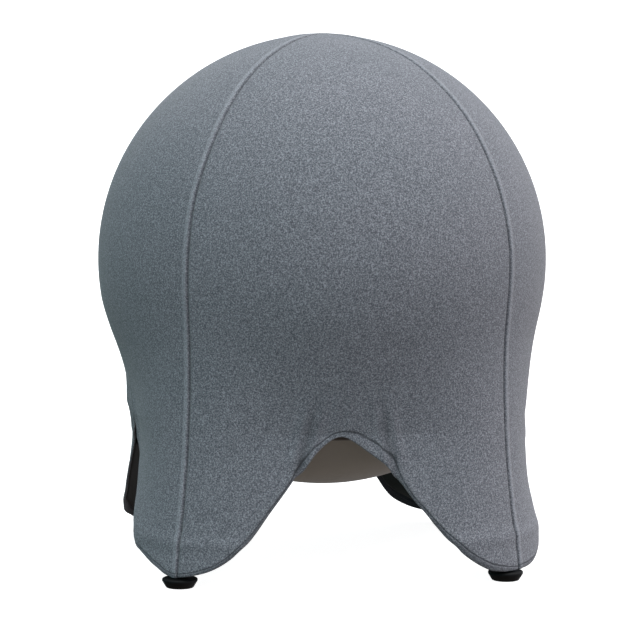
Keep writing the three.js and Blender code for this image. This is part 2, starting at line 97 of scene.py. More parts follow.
# Quads between the points of a grid, by their numbers; a closed direction joins its last line to its first
def gridQuads(rows, columns, closeColumns=False, start=0):
    at = start + np.arange(rows * columns).reshape(rows, columns)
    if closeColumns:
        at = np.hstack([at, at[:, :1]])
    return np.stack([at[:-1, :-1], at[1:, :-1], at[1:, 1:], at[:-1, 1:]], -1).reshape(-1, 4)


# Mesh from points and quads: coincident points are merged, and the faces of a closed shape turned outwards
def makeMesh(name, points, quads, marks=None):
    points = points.reshape(-1, 3)
    a, b, c, d = (points[quads[:, i]] for i in range(4))
    volume = np.einsum("ij,ij->", a, np.cross(b, c)) + np.einsum("ij,ij->", a, np.cross(c, d))
    if volume < 0:
        quads = quads[:, ::-1]
    micron = np.round(points * 1e6).astype(np.int64)
    _, first, same = np.unique(micron, axis=0, return_index=True, return_inverse=True)
    quads = same.reshape(-1)[quads]
    kept = quads != np.roll(quads, 1, axis=1)
    kept &= ~((quads == np.roll(quads, 2, axis=1)) & (np.arange(4) > 1))
    whole = kept.sum(1) > 2
    quads, kept = quads[whole], kept[whole]
    totals = kept.sum(1)
    mesh = bpy.data.meshes.new(name)
    mesh.vertices.add(len(first))
    mesh.vertices.foreach_set("co", points[first].astype(np.float32).ravel())
    mesh.loops.add(int(totals.sum()))
    mesh.loops.foreach_set("vertex_index", quads[kept].astype(np.int32))
    mesh.polygons.add(len(totals))
    mesh.polygons.foreach_set("loop_start", (np.cumsum(totals) - totals).astype(np.int32))
    for mark, values in (marks or {}).items():
        layer = mesh.attributes.new(mark, "FLOAT", "POINT")
        layer.data.foreach_set("value", np.asarray(values, np.float32).reshape(-1)[first])
    mesh.update(calc_edges=True)
    mesh.validate()
    mesh.shade_smooth()
    return mesh


# Object around a shape, given its slot's material or one of its own, on its body, with the CAD nodes it stands for
# hidden; sharp edges from an angle up
def addPiece(name, shape, slot, replaced=(), sharp=None, body="frame", material=None):
    mesh = makeMesh(name, *shape)
    if sharp is not None:
        mesh.set_sharp_from_angle(angle=math.radians(sharp))
    mesh.materials.append(material or materials[slot])
    piece = addObject(name, mesh)
    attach(piece, body)
    if replaced:
        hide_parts(*replaced)
    return piece


# Kinds of pieces set at each corner: name, node, shape or its maker, place, slot, sharp angle, and body if it moves
def addAtCorners(*kinds):
    pieces = []
    for index, corner in enumerate(corners):
        for name, node, shape, place, slot, sharp, *body in kinds:
            points, quads = shape(index) if callable(shape) else shape
            placed, rides = (moved(points, place(index)), quads), body[0] + corner if body else "frame"
            pieces.append(addPiece(name + corner, placed, slot, [node + corner], sharp, rides))
    return pieces


# Even angles all round
def anglesRound(steps):
    return np.arange(steps) * 2 * math.pi / steps


# Points of a circle: radius times the cosine and sine of even steps
def circle(radius, steps):
    angle = anglesRound(steps)
    return np.stack([radius * np.cos(angle), radius * np.sin(angle)], -1)


# Rows of (radius, height) turned about the upright axis; a radius may also be one for each step
def turnRows(rows, steps):
    points = [np.hstack([circle(radius, steps), np.full((steps, 1), height)]) for radius, height in rows]
    return np.stack(points), gridQuads(len(points), steps, closeColumns=True)


# Corners of a profile rounded: each becomes an arc of a few points between its two sides
def roundCorners(profile, radius, steps=4):
    profile = np.asarray(profile, float)
    rounded = [profile[0]]
    for before, corner, after in zip(profile[:-2], profile[1:-1], profile[2:]):
        toBefore, toAfter = before - corner, after - corner
        reach = min(radius, np.linalg.norm(toBefore) * .45, np.linalg.norm(toAfter) * .45)
        start, end = corner + unit(toBefore) * reach, corner + unit(toAfter) * reach
        share = np.linspace(0, 1, steps)[:, None]
        rounded.extend(start * (1 - share) ** 2 + 2 * corner * share * (1 - share) + end * share ** 2)
    return np.array(rounded + [profile[-1]])


# Vectors made one long: each over its own length
def unit(vectors):
    return vectors / np.maximum(np.linalg.norm(vectors, axis=-1, keepdims=True), 1e-12)


# Sections along a path: its points and a ring's two parts along two directions across it
def carry(path, first, second, ring):
    return path[:, None] + ring[..., :1] * first[:, None] + ring[..., 1:] * second[:, None]


# Tube along an open path that lies in a plane: circles across it, outer and inner walls joined at both mouths
def pipe(path, steady, outer, inner, steps):
    ahead = unit(np.gradient(path, axis=0))
    other = unit(np.cross(ahead, steady))
    walls = [carry(path, other, np.cross(other, ahead), circle(radius, steps)) for radius in (outer, inner)]
    points = np.concatenate([walls[0], walls[1][::-1], walls[0][:1]])
    return points, gridQuads(len(points), steps, closeColumns=True)


# Several shapes in one: their points one after another, their quads' numbers raised by the points before them
def joinParts(parts):
    starts = np.cumsum([0] + [part[0].size // 3 for part in parts])
    quads = [faces + start for (_, faces), start in zip(parts, starts)]
    return np.concatenate([part[0].reshape(-1, 3) for part in parts]), np.concatenate(quads)


# Points turned by a matrix's first three columns and shifted by its last
def moved(points, matrix):
    matrix = np.array(matrix)
    return points @ matrix[:3, :3].T + matrix[:3, 3]


# Frame of a leg: a turn about the upright axis, so that its +X points out of the stool
def cornerFrame(index):
    return Matrix.Rotation(index * quarter - eighth, 4, "Z")


# The same frame moved out to the foot and leaned inwards by the leg's tilt
def legPlane(index):
    lean = Matrix.Translation((stool.footCircle, 0, stool.legBottom)) @ Matrix.Rotation(-legTilt, 4, "Y")
    return cornerFrame(index) @ lean


# Smooth curve through rows of (place, value), as cubic pieces that keep the rows' own slopes
def smoothTable(table, place):
    x, y = np.asarray(table, float).T
    before, after = np.maximum(np.arange(len(x)) - 1, 0), np.minimum(np.arange(len(x)) + 1, len(x) - 1)
    slopes = (y[after] - y[before]) / (x[after] - x[before])
    i = np.clip(np.searchsorted(x, place, side="right") - 1, 0, len(x) - 2)
    span, rise = x[i + 1] - x[i], y[i + 1] - y[i]
    s = np.clip((place - x[i]) / span, 0, 1)
    start, end = slopes[i] * span, slopes[i + 1] * span
    return y[i] + s * (start + s * (3 * rise - 2 * start - end + s * (start + end - 2 * rise)))


# Bell curve: e to the minus square of distance over width
def bell(distance, width):
    return np.exp(-((distance / width) ** 2))


# Soft step from 0 to 1: three times the square less twice the cube
def ease(value):
    value = np.clip(value, 0, 1)
    return value * value * (3 - 2 * value)


# Node of a kind with its inputs, values or other nodes' outputs, and its own settings; gives one of its outputs
def addNode(tree, kind, output, inputs=None, **settings):
    node = tree.nodes.new("ShaderNode" + kind)
    for key, value in settings.items():
        setattr(node, key, value)
    for socket, value in (inputs or {}).items():
        if isinstance(value, bpy.types.NodeSocket):
            tree.links.new(value, node.inputs[socket])
        else:
            node.inputs[socket].default_value = (*value, 1) if isinstance(value, tuple) else value
    return node.outputs[output]


# Pattern in the object's own coordinates: noise of a scale, detail and roughness, or cells of a scale and feature
def pattern(tree, scale, detail=2, roughness=.5):
    inputs = {"Vector": addNode(tree, "TexCoord", "Object"), "Scale": scale}
    if isinstance(detail, str):
        return addNode(tree, "TexVoronoi", "Distance", inputs, feature=detail)
    return addNode(tree, "TexNoise", "Fac", {**inputs, "Detail": detail, "Roughness": roughness})


# Colour ramp over a factor, with a colour or a grey at each of its places
def ramp(tree, factor, *stops):
    colour = addNode(tree, "ValToRGB", "Color", {"Fac": factor})
    elements = colour.node.color_ramp.elements
    for _ in stops[2:]:
        elements.new(.5)
    for element, (place, tone) in zip(elements, stops):
        element.position = place
        element.color = (*tone, 1) if isinstance(tone, tuple) else (tone, tone, tone, 1)
    return colour


# Two colours mixed, multiplied or added, by a factor
def mix(tree, kind, factor, a, b):
    return addNode(tree, "Mix", 2, {0: factor, 6: a, 7: b}, data_type="RGBA", blend_type=kind)


# Normal from a height pattern with its strength and its depth in metres, over another normal if there is one
def bump(tree, height, strength, depth, before=None):
    inputs = {"Strength": strength, "Distance": depth, "Height": height}
    if before is not None:
        inputs["Normal"] = before
    return addNode(tree, "Bump", "Normal", inputs)


# Principled material with its constant inputs, and with a function of its tree that gives those that vary
def makeMaterial(name, constants, varying):
    material = bpy.data.materials.new(name)
    material.use_nodes = True
    tree = material.node_tree
    shader = tree.nodes["Principled BSDF"]
    for socket, value in constants.items():
        shader.inputs[socket].default_value = value
    for socket, output in varying(tree).items():
        tree.links.new(output, shader.inputs[socket])
    return material


# Plain surface: a ramp over one pattern for the colour, fine relief from another, perhaps a ramp for the roughness
def plainSurface(tone, colours, relief, rough=None, levels=()):
    def varying(tree):
        inputs = {"Base Color": ramp(tree, pattern(tree, *tone), *colours),
                  "Normal": bump(tree, pattern(tree, *relief[:-2]), *relief[-2:])}
        if rough:
            inputs["Roughness"] = ramp(tree, pattern(tree, *rough), *levels)
        return inputs
    return varying


# Knit colours: seam is the near-black that painted shade mixes towards, and the colour after it is that of the painted
# highlight
knit = Values(
    dark=(.088, .090, .108), middle=(.172, .174, .199), light=(.330, .333, .366), seam=(.022, .023, .028),
    pale=(.42, .43, .47), patch=(.93, .95, .95), fleckScale=680, threadScale=1350, patchScale=11)


# Heather knit: dark, middle and light fibres in flecks of about 2 mm. Painted shade darkens it in its seam grooves,
# stitch lines, crease valleys and hem corners, it is darkened throughout on its inner face, and a painted highlight
# lightens it along the welts beside its seams
def knitSurface(tree):
    flecks = pattern(tree, knit.fleckScale, 2.5, .62)
    colour = ramp(tree, flecks, (.37, knit.dark), (.5, knit.middle), (.63, knit.light))
    fibres = ramp(tree, pattern(tree, knit.threadScale, 1.5), (.35, .72), (.68, 1))
    patches = ramp(tree, pattern(tree, knit.patchScale), (.3, knit.patch), (.7, 1))
    # Painted shade and painted highlight from the cover's mark: positive values darken towards near-black, negative
    # ones lighten as a painted highlight
    shade = addNode(tree, "Attribute", "Fac", attribute_name="shade")
    highlightShare = addNode(tree, "Math", "Value", {0: shade, 1: -1}, operation="MULTIPLY")
    for kind, factor, other in (("MULTIPLY", 1, fibres), ("MULTIPLY", 1, patches), ("MIX", shade, knit.seam),
                                ("MIX", highlightShare, knit.pale)):
        colour = mix(tree, kind, factor, colour, other)
    normal = bump(tree, flecks, .35, .0005)
    return {"Base Color": colour, "Normal": bump(tree, pattern(tree, knit.threadScale, 1), .3, .0002, normal)}


sewingThread = makeMaterial("sewingThread", {"Roughness": .7}, plainSurface(
    (2200, 1), [(.3, (.03, .031, .037)), (.7, (.075, .077, .09))], (2200, 1, .3, .0001)))
# Material of each slot
materials = {
    "cover_fabric": makeMaterial(
        "heatherKnit", {"Roughness": .93, "Sheen Weight": .18, "Sheen Roughness": .55}, knitSurface),
    "lining_fabric": makeMaterial("darkLining", {"Roughness": .9, "Sheen Weight": .1}, plainSurface(
        (900, 2, .6), [(.35, (.0045, .0056, .005)), (.7, (.015, .018, .016))], (900, 2, .6, .4, .0003))),
    "ball_vinyl": makeMaterial("ballVinyl", {"Specular IOR Level": .42}, plainSurface(
        (9, 3, .6), [(.3, (.34, .325, .295)), (.7, (.40, .385, .35))], (420, 2, .12, .0003),
        (160, 3, .7), [(.45, .36), (.75, .52)])),
    "frame_paint": makeMaterial("framePaint", {"Specular IOR Level": .5}, plainSurface(
        (60, 3, .65), [(.3, (.0075, .0078, .008)), (.75, (.014, .0145, .015))], (700, 2, .25, .0002),
        (35, 3), [(.3, .36), (.75, .55)])),
    "zinc_steel": makeMaterial("zincSteel", {"Metallic": 1}, plainSurface(
        (120, 3, .6), [(.3, (.42, .43, .42)), (.7, (.63, .64, .61))], (900, 2, .15, .0001),
        (260, "F1"), [(.1, .27), (.7, .45)])),
    "pad_plastic": makeMaterial("padPlastic", {"Specular IOR Level": .22}, plainSurface(
        (90, 3, .6), [(.3, (.0012, .0012, .0014)), (.7, (.003, .003, .0034))], (900, "SMOOTH_F1", .25, .00015),
        (45, 3), [(.3, .56), (.75, .74)])),
}
print("materials made")


# Cover's measures: the groove's, welt's, stitch's and hem's shade are strengths of painted shade, and the welt's
# paleness is the strength of a painted highlight
cover = Values(
    cloth=.0012, seamWaist=.013, tipRadius=.262852, webFlare=.022, legRounding=1.2, hemTip=.016, wrap=.0143,
    touch=14.8927, prongStand=.003, bendFade=.014, hemRadius=.225, steepest=2.3, hemWidth=.016, hemFold=.0007,
    hemPuff=.0004, hemRoll=.0012, hemShade=.24, stitchIn=.006, stitchDepth=.0007, stitchWidth=.0007, stitchShade=.75,
    stitchFade=.3, curl=118, curlReach=.009, grooveDepth=.002, grooveWidth=.0016, grooveShade=.44, weltFrom=.0008,
    weltTo=.0066, weltEdge=.001, weltFade=.0016, weltHeight=.0007, weltShade=.2, weltPale=.24, pucker=.00012,
    puckerPitch=.009, puckerReach=.006, pinchAt=-14.2, pinchWidth=1.3, pinchReach=.0028, crownPeak=.0017,
    crownWidth=.011, innerShade=.88, domeRows=92, bodyRows=84, columns=156, panelGap=.00005, farIn=.02)
mm = .001


# Table of pairs written as place:value, each in its own unit
def table(placeUnit, valueUnit, text):
    pairs = (pair.split(":") for pair in text.split())
    return [(float(place) * placeUnit, float(value) * valueUnit) for place, value in pairs]


# Several tables by name, in the same units; one may be given ready
def tables(placeUnit, valueUnit, **texts):
    return {name: table(placeUnit, valueUnit, text) if isinstance(text, str) else text for name, text in texts.items()}


# One half of a hem turned over, to stand on the other side of its arch
def turnedOver(half):
    return [(-degrees, value) for degrees, value in half[:0:-1]]


# Waist of the leg seam: share of the way down from the ball's centre to the hem, share of the waist's depth
waistShares = table(1, 1, "0:0 .067:.12 .134:.36 .251:.76 .392:.98 .511:1 .627:.94 .778:.62 .878:.33 .94:.12 1:0")
# How far each side's web stands out from the straight line between ball and ring, by height
evenWeb = "120:0 150:.6 168:1.6 185:.8 210:0 220:0"
webs = tables(
    mm, mm, front=evenWeb, back=evenWeb,
    right="16:5 30:5 50:4 75:3 95:2 110:2.4 130:4.6 150:7.4 170:9.2 190:7.6 210:5 235:2 260:.4 290:0 300:0",
    left="""16:0 45:-2 70:-4 95:-7.5 115:-9.5 130:-10 148:-7.5 160:-3.6 169:-.4 178:-1.6 190:-3.8 210:-5.8 235:-4.4
        260:-1.8 290:0 300:0""")
# How far the legs stand out more than their seams and webs tell, by height: side, its half by the angle's sign
swells = {
    "right": {-1: table(mm, mm, "12:3.6 30:4.2 52:3.6 70:1.4 88:0 120:0")},
    "left": {1: table(mm, mm, "12:-1 30:.4 45:2.2 60:3.8 75:2 90:0 120:0"),
             -1: table(mm, mm, "12:-3 30:-6.5 60:-6.5 95:-4.5 120:-3 140:-1 160:0 200:0")},
}
# Hem of each side: degrees from the arch's centre, height. The front's is drawn up unevenly
archTop = table(1, mm, "0:163.2 3:159.5 6:151.5 9:141.2 12:128.2")
fullLeg = archTop + table(
    1, mm, "15:111.2 18:92.8 21:72.2 23.6:54.7 25.5:40.8 27.7:28.3 30.5:20.2 33.9:14.5 38:11.6 45:11.2")
slimLeg = archTop + table(1, mm, "15:111.8 18:95.8")
bluntLeg = slimLeg + table(1, mm, "23.8:64 26.3:49 28.2:34.5 31:30.8 34:27.2 37:22.5 40:18.2 42.5:13.8 45:11.6")
cutLeg = slimLeg + table(1, mm, "21:79.5 28.5:42 31:34 34:28.2 38:22.2 41.5:16 45:11.8")
evenHem = turnedOver(fullLeg) + fullLeg
hemLines = tables(
    1, mm, right=evenHem, back=evenHem, left=turnedOver(cutLeg) + bluntLeg,
    front="""-45:11.6 -40:15.2 -34.7:22.5 -30.2:34.8 -25.3:55.5 -20.9:80.3 -15.9:108 -14.3:118.8 -12.6:129.6 -9.3:147.2
        -5.3:160.3 -2.2:163.8 .5:159.6 4:150.5 8:139 11.2:127.5 13.9:107.8 16.8:91.8 19.7:78.2 22.4:64.3 25.6:49.6
        30.7:30 36.1:16.6 40.5:12.4 45:11.4""")
# How much of its full turn the hem is curled under, by degrees: most from the arch's corners to mid-leg
curlStart = table(1, 1, "11:0 12.6:.12 14.2:.55 15.8:.95")
curlLeg = table(1, 1, "17:1 19.5:.97 23:.8 27:.55 32:.36 38:.24 45:.15")
curlOver = turnedOver([(0, 0)] + curlStart + curlLeg)
hemCurls = {
    "front": curlOver + table(1, 1, "10.4:0 11.8:.12 13.2:.55 14.6:.95") + curlLeg, "right": curlOver + [(45, 0)],
    "left": [(-45, 0)] + curlStart + curlLeg, "back": [(-45, 0), (45, 0)],
}
# Depth of the hem's stitch line in from the edge, by degrees from the arch's centre
evenBand = "-45:5 -30:6.5 0:6 30:6.5 45:5"
hemBands = tables(
    1, mm, right=evenBand, back=evenBand, left=evenBand,
    front="""-45:3.6 -30:4.8 -17:6.2 -13.5:6.8 -10.5:5.8 -8:4.7 -4:4.9 -1:6.4 2:9.5 5:11.5 8:12.2 11:10.2 13.5:7.2
        20:5.5 30:7.2 38:7.2 45:4.2""")
# How far each seam runs round from its leg, in degrees, by height
backTurn = "20:1.4 160:1.5 330:1.8 430:2.3 530:3.2 585:5"
seamTurns = tables(
    mm, 1, back_left=backTurn, back_right=backTurn,
    front_left="""20:1.4 90:1.45 160:1.5 200:1.6 250:1.75 300:2.15 360:2.45 405:2.4 430:2.65 455:3.05 480:3.25 530:3.4
        560:3.8 585:5.5""",
    front_right="""20:1.4 70:1.2 110:1.3 150:1.4 190:1.3 230:1.1 270:.8 310:.5 350:.65 400:.6 460:.7 490:1.1 515:1.4
        540:2.1 563:4.3 585:5.5""")
# Each panel's direction and two seams, the one at its lower angle first; whether the allowances are pressed under it,
# how dark the painted shade at its hem's folded corner is, and where its bartacks are
panels = {side: Values(turn=(index - 1) * quarter, seams=(corners[index - 1], corners[index]), welt=index % 2, pinch=0,
                       bartacks=(-.33, .27)) for index, side in enumerate(sides)}
panels["front"].update(pinch=.55, bartacks=(.25,))
# Soft valleys between two folds that the legs pull above each arch: degrees and height at both ends, the folds' height,
# half the way between them, their width, and how dark the painted shade in the valley is
creases = [
    ((-14.1, .131), (-10.1, .192), .0021, .0085, .006, .42), ((12.3, .131), (8.9, .192), .0019, .0085, .006, .36),
    ((-2.0, .166), (-1.9, .212), .0008, .006, .0045, .1)]


# Radius over an arch's centre: the ball, then the straight line that touches the ball and the ring, then a flare
def archRadius(height):
    below = stool.ballHeight - height
    radius, touch = stool.coverRadius, math.radians(cover.touch)
    wrapHeight = stool.ringHeight - cover.wrap * math.sin(touch)
    straight = (radius - np.maximum(below, 0) * math.sin(touch)) / math.cos(touch)
    flared = stool.ringRadius + cover.wrap * math.cos(touch)
    flared = flared + cover.webFlare * (wrapHeight - height) / (wrapHeight - cover.hemTip)
    lower = np.where(height > wrapHeight, straight, flared)
    return np.where(below < radius * math.sin(touch), np.sqrt(np.maximum(0, radius ** 2 - below ** 2)), lower)


# Share of the way from arch to seam: half of one minus the cosine of four times the angle, to a power
def seamShare(angle):
    return ((1 - np.cos(4 * angle)) / 2) ** cover.legRounding


# Radius of the leg seam: a straight flare from ball to leg tip, drawn in at the waist, but clear of the leg's prongs
def seamRadius(height):
    down = (stool.ballHeight - height) / (stool.ballHeight - cover.hemTip)
    flare = stool.coverRadius + (cover.tipRadius - stool.coverRadius) * down
    arch = archRadius(height)
    drawn = np.maximum(flare - cover.seamWaist * smoothTable(waistShares, down), arch)
    prongOut = stool.footCircle - (height - stool.legBottom) * math.tan(legTilt)
    needed = np.hypot(prongOut, stool.prongHalf) + stool.socketRadius + cover.prongStand
    overProng = arch + (needed - arch) / seamShare(eighth - np.arctan2(stool.prongHalf, prongOut))
    fromBend = ease((height - stool.legBottom - stool.legBend) / cover.bendFade + 1)
    return drawn + np.maximum(overProng - drawn, 0) * np.where(height < stool.ringHeight, fromBend, 0)


# Height of a side's hem at an angle, a smooth curve through the side's own table
def hemHeight(side, angle):
    return smoothTable(hemLines[side], np.clip(np.degrees(angle), -45, 45))


# Width of the hem's band at an angle, as a share of the common width
def bandShare(side, angle):
    return smoothTable(hemBands[side], np.degrees(angle)) / cover.stitchIn


# Angle from the arch's centre at a share across a panel: its seams turn with height, and the rest lies evenly between
def panelAngle(side, across, height):
    low, high = (np.radians(smoothTable(seamTurns[seam], height)) for seam in panels[side].seams)
    return across * eighth + (1 - across) / 2 * low + (1 + across) / 2 * high


# Level is the angle above the ball's centre, and below the centre the drop as a share of the cover's radius
def heightAt(level):
    return stool.ballHeight + stool.coverRadius * np.where(level > 0, np.sin(level), level)


# Radius of a side's skin below the ball's centre: between the web's radius and the seam's, and a leg's swell
def sideRadius(side, angle, height):
    web = archRadius(height) + smoothTable(webs[side], height)
    radius = web + (seamRadius(height) - web) * seamShare(angle)
    for sign, rows in swells.get(side, {}).items():
        radius = radius + smoothTable(rows, height) * (angle * sign > 0) * np.sin(4 * angle) ** 2
    return radius


# Skin of a panel: on the ball above its centre, and between web and seam below it
def coverSkin(side, across, level):
    height = heightAt(level)
    angle = panelAngle(side, across, height)
    radius = np.where(level > 0, stool.coverRadius * np.cos(level), sideRadius(side, angle, height))
    turned = angle + panels[side].turn
    return np.stack([radius * np.cos(turned), radius * np.sin(turned), height], -1)


# Outward direction of the skin, from its slopes, and on the ball straight from the ball's centre
def coverNormal(side, across, level, step=1e-3):
    acrossSlope = coverSkin(side, across + step, level) - coverSkin(side, across - step, level)
    levelSlope = coverSkin(side, across, level + step) - coverSkin(side, across, level - step)
    outward = unit(coverSkin(side, across, level) - ballCentre)
    upper = ease(level / .05 + 1)[..., None]
    return unit(unit(np.cross(acrossSlope, levelSlope)) * (1 - upper) + outward * upper)


# Angle at which a line of constant share across a panel meets the hem, found in a few rounds
def hemAngle(side, across):
    angle = panelAngle(side, across, np.full_like(across, .1))
    for _ in range(4):
        angle = panelAngle(side, across, hemHeight(side, angle))
    return angle


# Level of a line that runs in from the hem: the band's width and the hem's slope decide how far up that is
def hemLevel(side, across, inset, step=.002):
    angle = hemAngle(side, across)
    slope = (hemHeight(side, angle + step) - hemHeight(side, angle - step)) / (2 * step) / cover.hemRadius
    up = inset * bandShare(side, angle) * np.minimum(np.sqrt(1 + slope ** 2), cover.steepest)
    return (hemHeight(side, angle) + up - stool.ballHeight) / stool.coverRadius


# Curl of the hem: past its start the cloth follows a circle, so it moves on by its sine and in by one less cosine
def hemCurl(side, angle, inset):
    past = np.maximum(cover.curlReach - inset, 0)
    share = np.clip(smoothTable(hemCurls[side], np.degrees(angle)), 0, 1)
    bend = math.radians(cover.curl) * share * past / cover.curlReach
    forward = past * np.sinc(bend / math.pi)
    inward = past * np.sin(bend / 2) * np.sinc(bend / (2 * math.pi))
    return inset + past - forward, -inward * bandShare(side, angle)


# Shape of the cloth over its skin: how far both faces are lifted, how far the outer one is, and its painted shade. It
# is darker in the seam's groove, along the welt's edge, in crease valleys, at the hem's corner, along the stitch line
# and over the legs' hem band, and lighter as a painted highlight on the welts
def coverRelief(side, across, level, inset):
    height = heightAt(level)
    angle = panelAngle(side, across, height)
    point = coverSkin(side, across, level)
    out = np.hypot(point[..., 0], point[..., 1])
    fromSeam = (1 - np.abs(across)) * eighth * out
    crown = ease((out - .004) / .02)
    groove = bell(fromSeam, cover.grooveWidth)
    waves = np.sin(2 * math.pi * level * stool.coverRadius / cover.puckerPitch) * np.exp(-fromSeam / cover.puckerReach)
    outer = cover.pucker * waves * crown - cover.grooveDepth * groove * (.35 + .65 * crown)
    # Painted shade along the seam's groove, where the cloth dips in
    shade = cover.grooveShade * groove
    if panels[side].welt:
        past = fromSeam - cover.weltTo
        rise = ease((fromSeam - cover.weltFrom) / cover.weltEdge) * (1 - ease(past / cover.weltFade)) * crown
        outer = outer + cover.weltHeight * rise
        # Painted shade as a soft dark line past the welt's edge, and a painted highlight over the raised welt itself
        shade = shade + cover.weltShade * bell(past - cover.weltEdge, cover.weltEdge) - cover.weltPale * rise
    lift = cover.crownPeak * np.exp(-out / cover.crownWidth)
    for (startAngle, startHeight), (endAngle, endHeight), foldHeight, gap, width, dark in creases:
        along = (height - startHeight) / (endHeight - startHeight)
        fade = ease((along + .1) / .3) * (1 - ease((along - .6) / .9))
        aside = (angle - np.radians(startAngle + (endAngle - startAngle) * along)) * out
        lift = lift + foldHeight * (bell(aside - gap, width) + bell(aside + gap, width)) * fade
        # Painted shade in the valley between the two folds
        shade = shade + dark * bell(aside, width) * fade
    fromStitch, degrees = inset - cover.stitchIn, np.degrees(angle)
    stitch = bell(fromStitch, cover.stitchWidth)
    puff = np.sin(np.clip(inset / cover.stitchIn, 0, 1) * math.pi) ** .5
    outer = outer - cover.stitchDepth * stitch + cover.hemPuff * np.where(fromStitch < 0, puff, 0)
    onLeg = ease((np.abs(degrees) - 16) / 8)
    # Painted shade where the hem folds under at the front's left arch corner
    pinch = bell(degrees - cover.pinchAt, cover.pinchWidth) * bell(fromStitch, cover.pinchReach)
    shade = shade + panels[side].pinch * pinch
    # Painted shade along the hem's stitch line, lighter on the legs, and over the legs' hem band below it, which curls
    # under
    shade = shade + (cover.stitchShade - cover.stitchFade * onLeg) * stitch
    shade = shade + cover.hemShade * onLeg * (1 - ease(fromStitch / .0006 + .5))
    return lift, outer, np.clip(shade, -.5, .9)


# Middle of the cloth near the hem, curled under
def hemPoint(side, across, inset):
    shown, tucked = hemCurl(side, hemAngle(side, across), inset)
    level = hemLevel(side, across, shown)
    lift, outer, shade = coverRelief(side, across, level, inset)
    return coverSkin(side, across, level) + coverNormal(side, across, level) * (lift + tucked)[..., None], outer, shade


# The same with its outward direction, from its slopes across and in from the edge
def hemFace(side, across, inset, aside=1e-3, up=1e-4):
    point, outer, shade = hemPoint(side, across, inset)
    sideways = hemPoint(side, across + aside, inset)[0] - hemPoint(side, across - aside, inset)[0]
    upwards = hemPoint(side, across, inset + up)[0] - hemPoint(side, across, inset - up)[0]
    return point, unit(np.cross(sideways, upwards)), outer, shade


insetRows = mm * np.array([
    18, 15.5, 13, 11, 9.5, 8.6, 7.9, 7.4, 7.0, 6.7, 6.4, 6.15, 5.9, 5.6, 5.3, 5.0, 4.6, 4.0, 3.2, 2.4, 1.7, 1.2, .8,
    .45, .2, .07, 0])


# Shares across a panel, closer together beside its seams
def acrossShares(columns):
    even = np.linspace(-1, 1, columns)
    tight = even + .055 * np.sin(2 * math.pi * even) * even ** 2
    edge = 1 - np.array([0, .0022, .0044, .0068, .0095, .0125, .016, .020, .0245, .03, .036, .043])
    return np.concatenate([-edge, tight[np.abs(tight) < .95], edge[::-1]])


# Closed cloth from its outer and inner face, two grids of points, joined all round their edges
def closeCloth(outer, inner):
    rows, columns = outer.shape[:2]
    count = rows * columns
    number = np.arange(count).reshape(rows, columns)
    rim = np.concatenate([number[0], number[1:, -1], number[-1, -2::-1], number[-2:0:-1, 0]])
    after = np.roll(rim, -1)
    edges = np.stack([rim, after, after + count, rim + count], -1)
    quads = [gridQuads(rows, columns), gridQuads(rows, columns, start=count)[:, ::-1], edges]
    return np.stack([outer, inner]).reshape(-1, 3), np.concatenate(quads)


# Panel: outer face from the crown to the hem, rolled under along a half circle, and back up as the inner face
def makePanel(side):
    across = acrossShares(cover.columns)[None, :]
    dome = np.linspace(quarter, 0, cover.domeRows, endpoint=False)[:, None] + 0 * across
    body = hemLevel(side, across, insetRows[0]) * np.linspace(0, 1, cover.bodyRows, endpoint=False)[:, None]
    level = np.vstack([dome, body])
    upper, farIn = across + 0 * level, np.full_like(level, cover.farIn)
    lift, outer, shade = coverRelief(side, upper, level, farIn)
    normal = coverNormal(side, upper, level)
    face = coverSkin(side, upper, level) + normal * lift[..., None], normal, outer, shade
    inset = insetRows[:, None] + 0 * across
    hem = hemFace(side, across + 0 * inset, inset)
    face, normal, outer, shade = (np.vstack(pair) for pair in zip(face, hem))
    inset = np.vstack([farIn, inset])
    folded = ease((cover.hemWidth - inset) / .0012 + .5)
    inner = -cover.cloth - cover.hemFold * folded + .8 * np.minimum(outer, 0)
    roll = np.clip(inset / cover.hemRoll, 0, 1)
    halfThick = (outer - inner) / 2 * np.sqrt(np.maximum(0, 1 - (1 - roll) ** 2))
    middle = (outer + inner) / 2
    centre = np.array([math.cos(panels[side].turn), math.sin(panels[side].turn), 0])
    outside, inside = (face + normal * (middle + half)[..., None] + centre * cover.panelGap
                       for half in (halfThick, -halfThick))
    marks = {"shade": np.concatenate([shade.ravel(), np.full(shade.size, cover.innerShade)])}
    return *closeCloth(outside, inside), marks


thread = Values(radius=.00028, length=.0027, pitch=.0036, sides=6, stand=.00012, places=1600, most=.994)


# Short thread capsules at places on a surface: each is a few rings along its own direction
def stitchParts(places, normals, ahead, radius, length):
    shares = np.array([-1, -.86, -.45, .45, .86, 1])
    widths = np.array([0, .62, 1, 1, .62, 0]) * radius
    sinks = -np.abs(shares) ** 3 * radius * 1.3
    ahead = unit(ahead)
    spine = carry(places, ahead, normals, np.stack([shares * length / 2, sinks], -1))
    ring = carry(0 * places, unit(np.cross(normals, ahead)), normals, circle(1, thread.sides))
    points = spine[:, :, None] + ring[:, None] * widths[:, None, None]
    one = gridQuads(len(shares), thread.sides, closeColumns=True)
    step = len(shares) * thread.sides
    return points.reshape(-1, 3), (one + (np.arange(len(places)) * step)[:, None, None]).reshape(-1, 4)


# Stitches a pitch apart along a hem: the line's length is run through and its points and directions read off
def hemStitches(side):
    along = np.linspace(-thread.most, thread.most, thread.places)
    point, normal, outer, _ = hemFace(side, along, np.full_like(along, cover.stitchIn))
    line = point + normal * (outer + thread.stand)[:, None]
    length = np.concatenate([[0], np.cumsum(np.linalg.norm(np.diff(line, axis=0), axis=1))])
    at = np.arange(thread.pitch / 2, length[-1], thread.pitch)
    places, normals = (np.stack([np.interp(at, length, part[:, i]) for i in range(3)], -1) for part in (line, normal))
    return stitchParts(places, normals, np.gradient(places, axis=0), thread.radius, thread.length)


